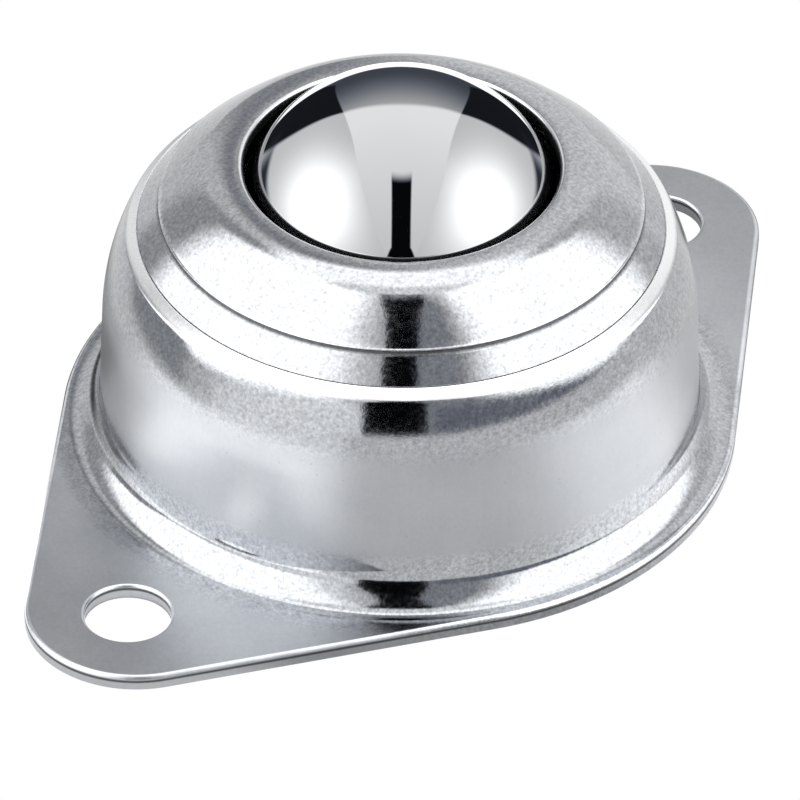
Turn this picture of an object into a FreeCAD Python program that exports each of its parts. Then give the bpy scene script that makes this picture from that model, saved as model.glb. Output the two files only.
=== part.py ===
import FreeCAD, Part
import math
import os
from FreeCAD import Vector

# Flange-mount ball transfer unit with a 25.4 mm (1 inch) load ball.
#
# Frame: millimetres, +Z up. The origin is the centre of the flange's underside,
# on the axis of the round body, so z = 0 is the surface that the unit bolts to.
# +X runs along the flange through both bolt holes.
#
# How the real unit goes together, from the bottom up:
#   a pressed bottom plate holds a hardened hemispherical race cup;
#   a layer of small balls lines the cup and the load ball runs on them;
#   a pressed cap with a round opening, smaller than the ball, keeps the ball in;
#   the drawn flange housing slips over all of it, and its turned-in lip holds the cap.

# ---------------------------------------------------------------- dimensions
BALL_D = 25.4            # load ball
BALL_Z = 19.1            # height of its centre above the mounting face

RUN = 0.05               # running clearance between balls and between ball and race
SUP_D = 4.763            # support ball, 3/16 inch
SUP_PITCH = 18.9         # degrees between the rows of support balls
SUP_ROWS = (1, 6, 11, 16, 18)

RACE_T = 1.2             # wall of the race cup
RACE_TOP = 18.0          # height of its rim

SHEET = 1.2              # drawn sheet of the flange housing
FL_PITCH = 64.3          # bolt hole to bolt hole
FL_HOLE_D = 6.6          # clearance hole for an M6 screw
FL_LOBE_X = 31.13        # centre of the round end of the flange
FL_LOBE_R = 8.5          # radius of the round end
FL_WAIST_R = 26.0        # radius of the flange's middle
FL_EDGE_R = 0.40         # roll-over of the punched top edge
HOLE_EDGE_R = 0.28       # roll-over at the bolt holes

WALL_R4 = 23.094         # outer radius of the wall at z = 4
WALL_TAPER = 1.97        # degrees, wall leaning inwards
FIL_R1 = 3.2             # foot of the wall, upper part of its hollow radius
FIL_R2 = 1.7             # and lower part, running out on the flange
FIL_SPLIT = 60.0         # where the two meet (angle of the surface normal)
SHOULDER_R = 18.3        # big radius from the wall up to the lip
LIP_R = 20.900           # point that sets the shoulder radius
LIP_Z = 19.05
LIP_N = 26.7             # angle of the surface normal there
LIP_NOSE_R = 2.0         # rolled round of the lip
LIP_END_R = 20.255       # inner end of that round, where the lip's end face starts
LIP_END_Z = 19.405

CAP_T = 1.0              # sheet of the cap
CAP_OPEN_R = 12.06       # opening for the ball
CAP_TOP = 25.25          # flat ring around the opening
CAP_RING_R = 12.643      # outer radius of that ring
CAP_BEND_R = 4.68        # bend below the ring
CAP_N1 = 54.93           # angle of the normal where the bend ends
CAP_DOME_R1 = 16.6
CAP_N2 = 49.9
CAP_DOME_R2 = 27.5
CAP_N3 = 44.375          # and at the pressed line
BAND_N = 40.4            # cone band between the pressed line and the lip
CAP_SKIRT_Z = 9.0        # lower edge of the cap's skirt
CAP_FIT = 0.03           # slip fit between cap and housing

PLATE_T = 1.2            # bottom plate
PLATE_Z = 0.20           # its underside, just above the mounting face
PLATE_BEND_R = 1.2       # inside bend to its skirt
PLATE_TOP = 8.90         # top edge of its skirt

BALL_R = BALL_D / 2.0
SUP_R = SUP_D / 2.0
RACE_RI = BALL_R + RUN + SUP_D + RUN
RACE_RO = RACE_RI + RACE_T
ROW_R = BALL_R + RUN + SUP_R


# ---------------------------------------------------------------- helpers
# Profiles are drawn in the (r, z) half plane and turned about Z.
def nrm(deg):
    a = math.radians(deg)
    return (math.cos(a), math.sin(a))


def V(p):
    return Vector(p[0], 0.0, p[1])


def add(p, q, k=1.0):
    return (p[0] + k * q[0], p[1] + k * q[1])


def arc_between(c, r, a0, a1):
    # arc about c from angle a0 to a1, degrees, in the half plane
    am = 0.5 * (a0 + a1)
    return Part.Arc(V(add(c, nrm(a0), r)), V(add(c, nrm(am), r)),
                    V(add(c, nrm(a1), r))).toShape()


def seg(p, q):
    return Part.LineSegment(V(p), V(q)).toShape()


def rounded(points):
    # closed profile from (r, z, corner radius) points, each corner a tangent arc
    n = len(points)
    cuts = []
    for i in range(n):
        p0 = points[i - 1]
        p1 = points[i]
        p2 = points[(i + 1) % n]
        rad = p1[2]
        if rad <= 0:
            cuts.append(((p1[0], p1[1]), None, (p1[0], p1[1])))
            continue
        a = (p0[0] - p1[0], p0[1] - p1[1])
        b = (p2[0] - p1[0], p2[1] - p1[1])
        la = math.hypot(*a)
        lb = math.hypot(*b)
        a = (a[0] / la, a[1] / la)
        b = (b[0] / lb, b[1] / lb)
        half = math.acos(max(-1.0, min(1.0, a[0] * b[0] + a[1] * b[1]))) / 2.0
        t = rad / math.tan(half)
        bis = (a[0] + b[0], a[1] + b[1])
        lbis = math.hypot(*bis)
        bis = (bis[0] / lbis, bis[1] / lbis)
        c = add((p1[0], p1[1]), bis, rad / math.sin(half))
        mid = add(c, bis, -rad)
        cuts.append((add((p1[0], p1[1]), a, t), mid, add((p1[0], p1[1]), b, t)))
    edges = []
    for i in range(n):
        s, m, e = cuts[i]
        if m is not None:
            edges.append(Part.Arc(V(s), V(m), V(e)).toShape())
        nxt = cuts[(i + 1) % n][0]
        if math.hypot(nxt[0] - e[0], nxt[1] - e[1]) > 1e-7:
            edges.append(seg(e, nxt))
    return edges


def turn(edges):
    wire = Part.Wire(Part.__sortEdges__(edges))
    face = Part.Face(wire)
    solid = face.revolve(Vector(0, 0, 0), Vector(0, 0, 1), 360)
    if solid.ShapeType != "Solid":
        solid = Part.Solid(Part.Shell(solid.Faces))
    if solid.Volume < 0:
        solid.reverse()
    return solid


def save(name, shape):
    shape.exportStep("parts/" + name + ".step")
    print("%-18s %9.1f mm3  valid %s" % (name, shape.Volume, shape.isValid()))


os.makedirs("parts", exist_ok=True)

# ---------------------------------------------------------------- flange housing
# Outer surface, from the flange up: hollow foot radius, tapered wall, big
# shoulder radius, then the turned-in lip. The inner surface is one sheet
# thickness inside it.
taper = math.tan(math.radians(WALL_TAPER))


def wall_r(z):
    return WALL_R4 - (z - 4.0) * taper


# shoulder arc, running into the round of the lip
sh_c = add((LIP_R, LIP_Z), nrm(LIP_N), -SHOULDER_R)
lip_g = (LIP_END_R, LIP_END_Z)
v_end = (lip_g[0] - sh_c[0], lip_g[1] - sh_c[1])
d_end = math.hypot(*v_end)
d_ctr = SHOULDER_R - LIP_NOSE_R
LIP_T = math.degrees(math.atan2(v_end[1], v_end[0])) - math.degrees(math.acos(
    (d_ctr ** 2 + d_end ** 2 - LIP_NOSE_R ** 2) / (2.0 * d_ctr * d_end)))
nose_c = add(sh_c, nrm(LIP_T), d_ctr)
LIP_E = math.degrees(math.atan2(lip_g[1] - nose_c[1], lip_g[0] - nose_c[0]))
sh_lo = add(sh_c, nrm(WALL_TAPER), SHOULDER_R)

# foot of the wall: two arcs, both hollow, so their centres lie outside
d_r = FIL_R1 * (math.cos(math.radians(WALL_TAPER)) - math.cos(math.radians(FIL_SPLIT))) \
    + FIL_R2 * math.cos(math.radians(FIL_SPLIT))
d_z = FIL_R1 * (math.sin(math.radians(FIL_SPLIT)) - math.sin(math.radians(WALL_TAPER))) \
    + FIL_R2 * (1.0 - math.sin(math.radians(FIL_SPLIT)))
foot_z = SHEET + d_z                     # height where the wall starts
foot_r = wall_r(foot_z) + d_r            # radius where the flange becomes flat
c2 = (foot_r, SHEET + FIL_R2)
split_p = add(c2, nrm(FIL_SPLIT), -FIL_R2)
c1 = add(split_p, nrm(FIL_SPLIT), FIL_R1)


def shell_outer(d, top):
    # the housing's surface moved inwards by d: edges from the flange up to normal angle top
    e = []
    e.append(arc_between(c2, FIL_R2 + d, 180 + 90, 180 + FIL_SPLIT))
    e.append(arc_between(c1, FIL_R1 + d, 180 + FIL_SPLIT, 180 + WALL_TAPER))
    lo = add(c1, nrm(WALL_TAPER), -(FIL_R1 + d))
    hi = add(sh_c, nrm(WALL_TAPER), SHOULDER_R - d)
    e.append(seg(lo, hi))
    e.append(arc_between(sh_c, SHOULDER_R - d, WALL_TAPER, top))
    return e


ring_r = foot_r + 0.004                  # where the turned part meets the flat flange
up = (-nrm(LIP_N)[1], nrm(LIP_N)[0])     # along the shoulder, towards the lip's edge
in_i = add(sh_c, nrm(LIP_N), SHOULDER_R - SHEET)
# the lip's end face is square to the sheet
gi = (lip_g[0] - in_i[0], lip_g[1] - in_i[1])
run_s = gi[0] * up[0] + gi[1] * up[1]
in_j = add(in_i, up, run_s)

housing_edges = []
housing_edges += shell_outer(0.0, LIP_T)
housing_edges.append(arc_between(nose_c, LIP_NOSE_R, LIP_T, LIP_E))
housing_edges.append(seg(lip_g, in_j))
housing_edges.append(seg(in_j, in_i))
housing_edges += shell_outer(SHEET, LIP_N)
housing_edges.append(seg((foot_r, 0.0), (ring_r, 0.0)))
housing_edges.append(seg((ring_r, 0.0), (ring_r, SHEET)))
housing_edges.append(seg((ring_r, SHEET), (foot_r, SHEET)))
shell = turn(housing_edges)

# the flange: round middle, two round ends, straight tangents between them
beta = math.acos((FL_WAIST_R - FL_LOBE_R) / FL_LOBE_X)
cb, sb = math.cos(beta), math.sin(beta)


def P(x, y):
    return Vector(x, y, 0)


w = []
w.append(Part.LineSegment(P(FL_WAIST_R * cb, FL_WAIST_R * sb),
                          P(FL_LOBE_X + FL_LOBE_R * cb, FL_LOBE_R * sb)).toShape())
w.append(Part.Arc(P(FL_LOBE_X + FL_LOBE_R * cb, FL_LOBE_R * sb),
                  P(FL_LOBE_X + FL_LOBE_R, 0),
                  P(FL_LOBE_X + FL_LOBE_R * cb, -FL_LOBE_R * sb)).toShape())
w.append(Part.LineSegment(P(FL_LOBE_X + FL_LOBE_R * cb, -FL_LOBE_R * sb),
                          P(FL_WAIST_R * cb, -FL_WAIST_R * sb)).toShape())
w.append(Part.Arc(P(FL_WAIST_R * cb, -FL_WAIST_R * sb), P(0, -FL_WAIST_R),
                  P(-FL_WAIST_R * cb, -FL_WAIST_R * sb)).toShape())
w.append(Part.LineSegment(P(-FL_WAIST_R * cb, -FL_WAIST_R * sb),
                          P(-FL_LOBE_X - FL_LOBE_R * cb, -FL_LOBE_R * sb)).toShape())
w.append(Part.Arc(P(-FL_LOBE_X - FL_LOBE_R * cb, -FL_LOBE_R * sb),
                  P(-FL_LOBE_X - FL_LOBE_R, 0),
                  P(-FL_LOBE_X - FL_LOBE_R * cb, FL_LOBE_R * sb)).toShape())
w.append(Part.LineSegment(P(-FL_LOBE_X - FL_LOBE_R * cb, FL_LOBE_R * sb),
                          P(-FL_WAIST_R * cb, FL_WAIST_R * sb)).toShape())
w.append(Part.Arc(P(-FL_WAIST_R * cb, FL_WAIST_R * sb), P(0, FL_WAIST_R),
                  P(FL_WAIST_R * cb, FL_WAIST_R * sb)).toShape())
plate = Part.Face(Part.Wire(w)).extrude(Vector(0, 0, SHEET))
outer_top = [e for e in plate.Edges
             if abs(e.BoundBox.ZMin - SHEET) < 1e-6 and abs(e.BoundBox.ZMax - SHEET) < 1e-6]
plate = plate.makeFillet(FL_EDGE_R, outer_top)
for sx in (-1, 1):
    plate = plate.cut(Part.makeCylinder(FL_HOLE_D / 2.0, 4.0,
                                        Vector(sx * FL_PITCH / 2.0, 0, -1)))
hole_top = [e for e in plate.Edges
            if abs(e.BoundBox.ZMin - SHEET) < 1e-6 and abs(e.BoundBox.ZMax - SHEET) < 1e-6
            and abs(e.BoundBox.XLength - FL_HOLE_D) < 0.01]
plate = plate.makeFillet(HOLE_EDGE_R, hole_top)
plate = plate.cut(Part.makeCylinder(ring_r, 6.0, Vector(0, 0, -2)))
flange_housing = plate.fuse(shell).removeSplitter()
if flange_housing.ShapeType == "Compound":
    flange_housing = flange_housing.Solids[0]
save("flange_housing", flange_housing)

# ---------------------------------------------------------------- top cap
# From the opening outwards: flat ring, bend, dome, a fine pressed step, cone
# band, a joggle that drops it under the lip, then the skirt inside the wall.
ring_c = (CAP_RING_R, CAP_TOP - CAP_BEND_R)
p_n1 = add(ring_c, nrm(CAP_N1), CAP_BEND_R)
dome_c1 = add(p_n1, nrm(CAP_N1), -CAP_DOME_R1)
p_n2 = add(dome_c1, nrm(CAP_N2), CAP_DOME_R1)
dome_c2 = add(p_n2, nrm(CAP_N2), -CAP_DOME_R2)
p_n3 = add(dome_c2, nrm(CAP_N3), CAP_DOME_R2)

band_t = (nrm(BAND_N)[1], -nrm(BAND_N)[0])   # along the band, downwards and outwards
band_hi = add(p_n3, nrm(BAND_N), -0.169)     # the band lies 0.17 below the dome's edge
band_hi = add(band_hi, band_t, 0.64)

# under the lip the cap's outer surface is the housing's, moved in by the sheet and the fit
gap = SHEET + CAP_FIT
cap_i = add(sh_c, nrm(LIP_N), SHOULDER_R - gap)
cap_j = add(in_j, nrm(LIP_N), -CAP_FIT)
cap_j = add(cap_j, up, 0.03)
face_t = nrm(LIP_N)                          # along the lip's end face, outwards
# the band meets the joggle's face where the two lines cross
a11, a12 = face_t[0], -band_t[0]
a21, a22 = face_t[1], -band_t[1]
b1, b2 = band_hi[0] - cap_j[0], band_hi[1] - cap_j[1]
det = a11 * a22 - a12 * a21
k = (b1 * a22 - a12 * b2) / det
cap_g = add(cap_j, face_t, k)

edge_r = 0.18


def corner(p0, p1, p2, rad):
    # tangent arc at p1 between straight lines: returns (start, middle, end)
    a = (p0[0] - p1[0], p0[1] - p1[1])
    b = (p2[0] - p1[0], p2[1] - p1[1])
    la, lb = math.hypot(*a), math.hypot(*b)
    a = (a[0] / la, a[1] / la)
    b = (b[0] / lb, b[1] / lb)
    half = math.acos(a[0] * b[0] + a[1] * b[1]) / 2.0
    t = rad / math.tan(half)
    bis = (a[0] + b[0], a[1] + b[1])
    lbis = math.hypot(*bis)
    bis = (bis[0] / lbis, bis[1] / lbis)
    c = add(p1, bis, rad / math.sin(half))
    return add(p1, a, t), add(c, bis, -rad), add(p1, b, t)


def chain(points):
    # open chain of (r, z, corner radius); the first and last corners stay sharp
    out = []
    last = (points[0][0], points[0][1])
    for i in range(1, len(points) - 1):
        p0, p1, p2 = points[i - 1], points[i], points[i + 1]
        if p1[2] > 0:
            s, m, e = corner(p0[:2], p1[:2], p2[:2], p1[2])
            if math.hypot(s[0] - last[0], s[1] - last[1]) > 1e-7:
                out.append(seg(last, s))
            out.append(Part.Arc(V(s), V(m), V(e)).toShape())
            last = e
        else:
            out.append(seg(last, p1[:2]))
            last = p1[:2]
    out.append(seg(last, points[-1][:2]))
    return out


cap_edges = []
# opening: rounded top edge, straight bore, lightly rounded lower edge
cap_edges += chain([(CAP_RING_R, CAP_TOP, 0), (CAP_OPEN_R, CAP_TOP, 0.40),
                    (CAP_OPEN_R, CAP_TOP - CAP_T, 0.15), (CAP_RING_R, CAP_TOP - CAP_T, 0)])
# outer surface
cap_edges.append(arc_between(ring_c, CAP_BEND_R, 90.0, CAP_N1))
cap_edges.append(arc_between(dome_c1, CAP_DOME_R1, CAP_N1, CAP_N2))
cap_edges.append(arc_between(dome_c2, CAP_DOME_R2, CAP_N2, CAP_N3))
# the pressed step: the dome's edge flares up a little, then drops to the band
edge_p = add(add(band_hi, band_t, -0.47), nrm(BAND_N), 0.224)
groove = add(add(band_hi, band_t, -0.425), nrm(BAND_N), -0.05)
cap_sk_o = (wall_r(CAP_SKIRT_Z) - gap / math.cos(math.radians(WALL_TAPER)), CAP_SKIRT_Z)
cap_edges += chain([(p_n3[0], p_n3[1], 0), (edge_p[0], edge_p[1], 0.06),
                    (groove[0], groove[1], 0.04), (band_hi[0], band_hi[1], 0.20),
                    (cap_g[0], cap_g[1], 0.06), (cap_j[0], cap_j[1], 0.12),
                    (cap_i[0], cap_i[1], 0)])
cap_edges.append(arc_between(sh_c, SHOULDER_R - gap, LIP_N, WALL_TAPER))
cap_so = add(sh_c, nrm(WALL_TAPER), SHOULDER_R - gap)
cap_si = add(sh_c, nrm(WALL_TAPER), SHOULDER_R - gap - CAP_T)
cap_sk_i = (wall_r(CAP_SKIRT_Z) - (gap + CAP_T) / math.cos(math.radians(WALL_TAPER)),
            CAP_SKIRT_Z)
cap_edges += chain([(cap_so[0], cap_so[1], 0), (cap_sk_o[0], cap_sk_o[1], 0.25),
                    (cap_sk_i[0], cap_sk_i[1], 0.25), (cap_si[0], cap_si[1], 0)])
# inner surface, one sheet below the outer one
cap_edges.append(arc_between(sh_c, SHOULDER_R - gap - CAP_T, WALL_TAPER, LIP_N))
k_e = add(sh_c, nrm(LIP_N), SHOULDER_R - gap - CAP_T)
k_1 = add(k_e, up, run_s + 0.15)
b_1 = add(add(cap_g, nrm(BAND_N), -CAP_T), band_t, -1.35)
d_3 = add(dome_c2, nrm(CAP_N3), CAP_DOME_R2 - CAP_T)
cap_edges += chain([(k_e[0], k_e[1], 0), (k_1[0], k_1[1], 0.5), (b_1[0], b_1[1], 0.5),
                    (d_3[0], d_3[1], 0)])
cap_edges.append(arc_between(dome_c2, CAP_DOME_R2 - CAP_T, CAP_N3, CAP_N2))
cap_edges.append(arc_between(dome_c1, CAP_DOME_R1 - CAP_T, CAP_N2, CAP_N1))
cap_edges.append(arc_between(ring_c, CAP_BEND_R - CAP_T, CAP_N1, 90.0))
top_cap = turn(cap_edges)
save("top_cap", top_cap)

# ---------------------------------------------------------------- race cup
# hardened hemispherical bowl with a square rim
zi = RACE_TOP - BALL_Z
a_i = math.degrees(math.asin(zi / RACE_RI))
a_o = math.degrees(math.asin((zi - 0.3) / RACE_RO))
c0 = (0.0, BALL_Z)
rim_i = add(c0, nrm(a_i), RACE_RI)
rim_o = add(c0, nrm(a_o), RACE_RO)
race_edges = [arc_between(c0, RACE_RI, -90.0, a_i),
              seg(rim_i, (rim_o[0] - 0.3, RACE_TOP)),
              seg((rim_o[0] - 0.3, RACE_TOP), rim_o),
              arc_between(c0, RACE_RO, a_o, -90.0),
              seg((0.0, BALL_Z - RACE_RO), (0.0, BALL_Z - RACE_RI))]
race_cup = turn(race_edges)
save("race_cup", race_cup)

# ---------------------------------------------------------------- bottom plate
# pressed dish: a flat ring whose hole seats the bowl, and a skirt pressed into the wall
seat_z = PLATE_Z + PLATE_T
seat_r = math.sqrt(RACE_RO ** 2 - (BALL_Z - seat_z) ** 2) + 0.02
cosw = math.cos(math.radians(WALL_TAPER))


def in_wall(z, extra):
    return wall_r(z) - (SHEET + extra) / cosw


plate_pts = [
    (seat_r, seat_z, 0.05),
    (seat_r, PLATE_Z, 0.15),
    (in_wall(PLATE_Z, CAP_FIT), PLATE_Z, PLATE_BEND_R + PLATE_T),
    (in_wall(PLATE_TOP, CAP_FIT), PLATE_TOP, 0.25),
    (in_wall(PLATE_TOP, CAP_FIT + PLATE_T), PLATE_TOP, 0.25),
    (in_wall(seat_z, CAP_FIT + PLATE_T), seat_z, PLATE_BEND_R),
]
bottom_plate = turn(rounded(plate_pts))
save("bottom_plate", bottom_plate)

# ---------------------------------------------------------------- load ball
main_ball = Part.makeSphere(BALL_R, Vector(0, 0, BALL_Z))
save("main_ball", main_ball)

# ---------------------------------------------------------------- support balls
# One ball under the load ball and four rings up the bowl.
index = 0
for row, count in enumerate(SUP_ROWS):
    phi = math.radians(SUP_PITCH * row)
    ring = ROW_R * math.sin(phi)
    z = BALL_Z - ROW_R * math.cos(phi)
    for j in range(count):
        a = 2.0 * math.pi * j / count + 0.37 * row
        index += 1
        ball = Part.makeSphere(SUP_R, Vector(ring * math.cos(a), ring * math.sin(a), z))
        save("support_ball_%02d" % index, ball)
print("foot_r %.3f foot_z %.3f seat_r %.3f seam (%.3f, %.3f) race %.3f / %.3f" % (
    foot_r, foot_z, seat_r, p_n3[0], p_n3[1], RACE_RI, RACE_RO))
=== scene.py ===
import math

import bpy
import numpy as np
from mathutils import Matrix, Vector
from mathutils.geometry import delaunay_2d_cdt


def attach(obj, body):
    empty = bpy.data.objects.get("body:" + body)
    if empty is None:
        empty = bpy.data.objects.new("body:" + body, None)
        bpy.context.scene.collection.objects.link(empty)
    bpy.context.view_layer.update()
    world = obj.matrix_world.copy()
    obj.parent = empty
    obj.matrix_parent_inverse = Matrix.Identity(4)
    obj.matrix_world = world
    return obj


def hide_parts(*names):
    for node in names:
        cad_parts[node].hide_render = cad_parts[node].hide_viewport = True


# Flange-mount ball transfer unit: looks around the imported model.
# Lengths in the profile code are millimetres, as in the part's own source, and
# become metres when a mesh is made.

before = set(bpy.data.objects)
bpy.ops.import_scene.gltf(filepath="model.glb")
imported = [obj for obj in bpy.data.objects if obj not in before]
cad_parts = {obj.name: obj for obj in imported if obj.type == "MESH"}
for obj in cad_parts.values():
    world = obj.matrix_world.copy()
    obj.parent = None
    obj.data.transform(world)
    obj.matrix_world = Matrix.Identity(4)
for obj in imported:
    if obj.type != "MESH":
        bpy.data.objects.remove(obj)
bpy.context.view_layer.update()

# ------------------------------------------------------------------ dimensions
BALL_R = 12.7
BALL_Z = 19.1
RUN = 0.05
SUP_D = 4.763
RACE_T = 1.2
RACE_TOP = 18.0
SHEET = 1.2
FL_PITCH = 64.3
FL_HOLE_D = 6.6
FL_LOBE_X = 31.13
FL_LOBE_R = 8.5
FL_WAIST_R = 26.0
FL_EDGE_R = 0.40
HOLE_EDGE_R = 0.28
WALL_R4 = 23.094
WALL_TAPER = 1.97
FIL_R1 = 3.2
FIL_R2 = 1.7
FIL_SPLIT = 60.0
SHOULDER_R = 18.3
LIP_R = 20.900
LIP_Z = 19.05
LIP_N = 26.7
LIP_NOSE_R = 2.0
LIP_END_R = 20.255
LIP_END_Z = 19.405
CAP_T = 1.0
CAP_OPEN_R = 12.06
CAP_TOP = 25.25
CAP_RING_R = 12.643
CAP_BEND_R = 4.68
CAP_N1 = 54.93
CAP_DOME_R1 = 16.6
CAP_N2 = 49.9
CAP_DOME_R2 = 27.5
CAP_N3 = 44.375
BAND_N = 40.4
CAP_SKIRT_Z = 9.0
CAP_FIT = 0.03
PLATE_T = 1.2
PLATE_Z = 0.20
PLATE_BEND_R = 1.2
PLATE_TOP = 8.90
RACE_RI = BALL_R + RUN + SUP_D + RUN
RACE_RO = RACE_RI + RACE_T

TURNS = 360              # steps round the axis


# ------------------------------------------------------------------ profiles
def nrm(deg):
    a = math.radians(deg)
    return (math.cos(a), math.sin(a))


def add(p, q, k=1.0):
    return (p[0] + k * q[0], p[1] + k * q[1])


def arc(c, r, a0, a1, tag="", step=2.5, reach=0.30):
    # sampled arc: (list of points, tag)
    n = max(2, int(math.ceil(abs(a1 - a0) / step)),
            int(math.ceil(math.radians(abs(a1 - a0)) * r / reach)))
    return [add(c, nrm(a0 + (a1 - a0) * i / n), r) for i in range(n + 1)], tag


def line(p, q, tag="", reach=0.6):
    n = max(1, int(math.ceil(math.hypot(q[0] - p[0], q[1] - p[1]) / reach)))
    return [(p[0] + (q[0] - p[0]) * i / n, p[1] + (q[1] - p[1]) * i / n)
            for i in range(n + 1)], tag


def chain(points, tag="", round_tag=None, steps=7):
    # straight runs with tangent arcs at the corners; first and last points stay sharp
    out = []
    last = points[0][:2]
    for i in range(1, len(points) - 1):
        p0, p1, p2 = points[i - 1], points[i], points[i + 1]
        rad = p1[2]
        if rad <= 0:
            out.append(line(last, p1[:2], tag))
            last = p1[:2]
            continue
        a = (p0[0] - p1[0], p0[1] - p1[1])
        b = (p2[0] - p1[0], p2[1] - p1[1])
        la, lb = math.hypot(*a), math.hypot(*b)
        a = (a[0] / la, a[1] / la)
        b = (b[0] / lb, b[1] / lb)
        half = math.acos(max(-1.0, min(1.0, a[0] * b[0] + a[1] * b[1]))) / 2.0
        t = rad / math.tan(half)
        bis = (a[0] + b[0], a[1] + b[1])
        lbis = math.hypot(*bis)
        bis = (bis[0] / lbis, bis[1] / lbis)
        c = add(p1[:2], bis, rad / math.sin(half))
        s, e = add(p1[:2], a, t), add(p1[:2], b, t)
        a0 = math.degrees(math.atan2(s[1] - c[1], s[0] - c[0]))
        a1 = math.degrees(math.atan2(e[1] - c[1], e[0] - c[0]))
        while a1 - a0 > 180:
            a1 -= 360
        while a1 - a0 < -180:
            a1 += 360
        if math.hypot(s[0] - last[0], s[1] - last[1]) > 1e-6:
            out.append(line(last, s, tag))
        n = max(2, min(16, int(abs(a1 - a0) / steps) + 1))
        out.append(([add(c, nrm(a0 + (a1 - a0) * k / n), rad) for k in range(n + 1)],
                    tag if round_tag is None else round_tag))
        last = e
    if math.hypot(points[-1][0] - last[0], points[-1][1] - last[1]) > 1e-6:
        out.append(line(last, points[-1][:2], tag))
    return out


def back(pieces):
    return [(list(reversed(p)), t) for p, t in reversed(pieces)]


taper = math.tan(math.radians(WALL_TAPER))
cosw = math.cos(math.radians(WALL_TAPER))


def wall_r(z):
    return WALL_R4 - (z - 4.0) * taper


sh_c = add((LIP_R, LIP_Z), nrm(LIP_N), -SHOULDER_R)
d_r = FIL_R1 * (math.cos(math.radians(WALL_TAPER)) - math.cos(math.radians(FIL_SPLIT))) \
    + FIL_R2 * math.cos(math.radians(FIL_SPLIT))
d_z = FIL_R1 * (math.sin(math.radians(FIL_SPLIT)) - math.sin(math.radians(WALL_TAPER))) \
    + FIL_R2 * (1.0 - math.sin(math.radians(FIL_SPLIT)))
foot_z = SHEET + d_z
foot_r = wall_r(foot_z) + d_r
c2 = (foot_r, SHEET + FIL_R2)
c1 = add(add(c2, nrm(FIL_SPLIT), -FIL_R2), nrm(FIL_SPLIT), FIL_R1)
up = (-nrm(LIP_N)[1], nrm(LIP_N)[0])
lip_g = (LIP_END_R, LIP_END_Z)
v_end = (lip_g[0] - sh_c[0], lip_g[1] - sh_c[1])
d_end = math.hypot(*v_end)
d_ctr = SHOULDER_R - LIP_NOSE_R
LIP_T = math.degrees(math.atan2(v_end[1], v_end[0])) - math.degrees(math.acos(
    (d_ctr ** 2 + d_end ** 2 - LIP_NOSE_R ** 2) / (2.0 * d_ctr * d_end)))
nose_c = add(sh_c, nrm(LIP_T), d_ctr)
LIP_E = math.degrees(math.atan2(lip_g[1] - nose_c[1], lip_g[0] - nose_c[0]))
in_i = add(sh_c, nrm(LIP_N), SHOULDER_R - SHEET)
gi = (lip_g[0] - in_i[0], lip_g[1] - in_i[1])
run_s = gi[0] * up[0] + gi[1] * up[1]
in_j = add(in_i, up, run_s)


def shell(d, tag, top):
    lo = add(c1, nrm(WALL_TAPER), -(FIL_R1 + d))
    hi = add(sh_c, nrm(WALL_TAPER), SHOULDER_R - d)
    return [arc(c2, FIL_R2 + d, 270, 180 + FIL_SPLIT, tag),
            arc(c1, FIL_R1 + d, 180 + FIL_SPLIT, 180 + WALL_TAPER, tag),
            line(lo, hi, tag),
            arc(sh_c, SHOULDER_R - d, WALL_TAPER, top, tag)]


housing_profile = (shell(0.0, "", LIP_T)
                   + [arc(nose_c, LIP_NOSE_R, LIP_T, LIP_E, "lip", step=1.5, reach=0.08),
                      line(lip_g, in_j, "cut_and_shade"),
                      line(in_j, in_i, "inside")]
                   + back(shell(SHEET, "inside", LIP_N)))

ring_c = (CAP_RING_R, CAP_TOP - CAP_BEND_R)
p_n1 = add(ring_c, nrm(CAP_N1), CAP_BEND_R)
dome_c1 = add(p_n1, nrm(CAP_N1), -CAP_DOME_R1)
p_n2 = add(dome_c1, nrm(CAP_N2), CAP_DOME_R1)
dome_c2 = add(p_n2, nrm(CAP_N2), -CAP_DOME_R2)
p_n3 = add(dome_c2, nrm(CAP_N3), CAP_DOME_R2)
band_t = (nrm(BAND_N)[1], -nrm(BAND_N)[0])
band_hi = add(add(p_n3, nrm(BAND_N), -0.169), band_t, 0.64)
gap = SHEET + CAP_FIT
cap_i = add(sh_c, nrm(LIP_N), SHOULDER_R - gap)
cap_j = add(add(in_j, nrm(LIP_N), -CAP_FIT), up, 0.03)
face_t = nrm(LIP_N)
det = face_t[0] * (-band_t[1]) - (-band_t[0]) * face_t[1]
b1, b2 = band_hi[0] - cap_j[0], band_hi[1] - cap_j[1]
kk = (b1 * (-band_t[1]) - (-band_t[0]) * b2) / det
cap_g = add(cap_j, face_t, kk)
edge_p = add(add(band_hi, band_t, -0.47), nrm(BAND_N), 0.224)
groove = add(add(band_hi, band_t, -0.425), nrm(BAND_N), -0.05)
gutter = (groove[0] + 0.36 * (band_hi[0] - groove[0]), groove[1] + 0.36 * (band_hi[1] - groove[1]))
cap_sk_o = (wall_r(CAP_SKIRT_Z) - gap / cosw, CAP_SKIRT_Z)
cap_sk_i = (wall_r(CAP_SKIRT_Z) - (gap + CAP_T) / cosw, CAP_SKIRT_Z)
cap_so = add(sh_c, nrm(WALL_TAPER), SHOULDER_R - gap)
cap_si = add(sh_c, nrm(WALL_TAPER), SHOULDER_R - gap - CAP_T)
k_e = add(sh_c, nrm(LIP_N), SHOULDER_R - gap - CAP_T)
k_1 = add(k_e, up, run_s + 0.15)
b_1 = add(add(cap_g, nrm(BAND_N), -CAP_T), band_t, -1.35)
d_3 = add(dome_c2, nrm(CAP_N3), CAP_DOME_R2 - CAP_T)

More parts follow.
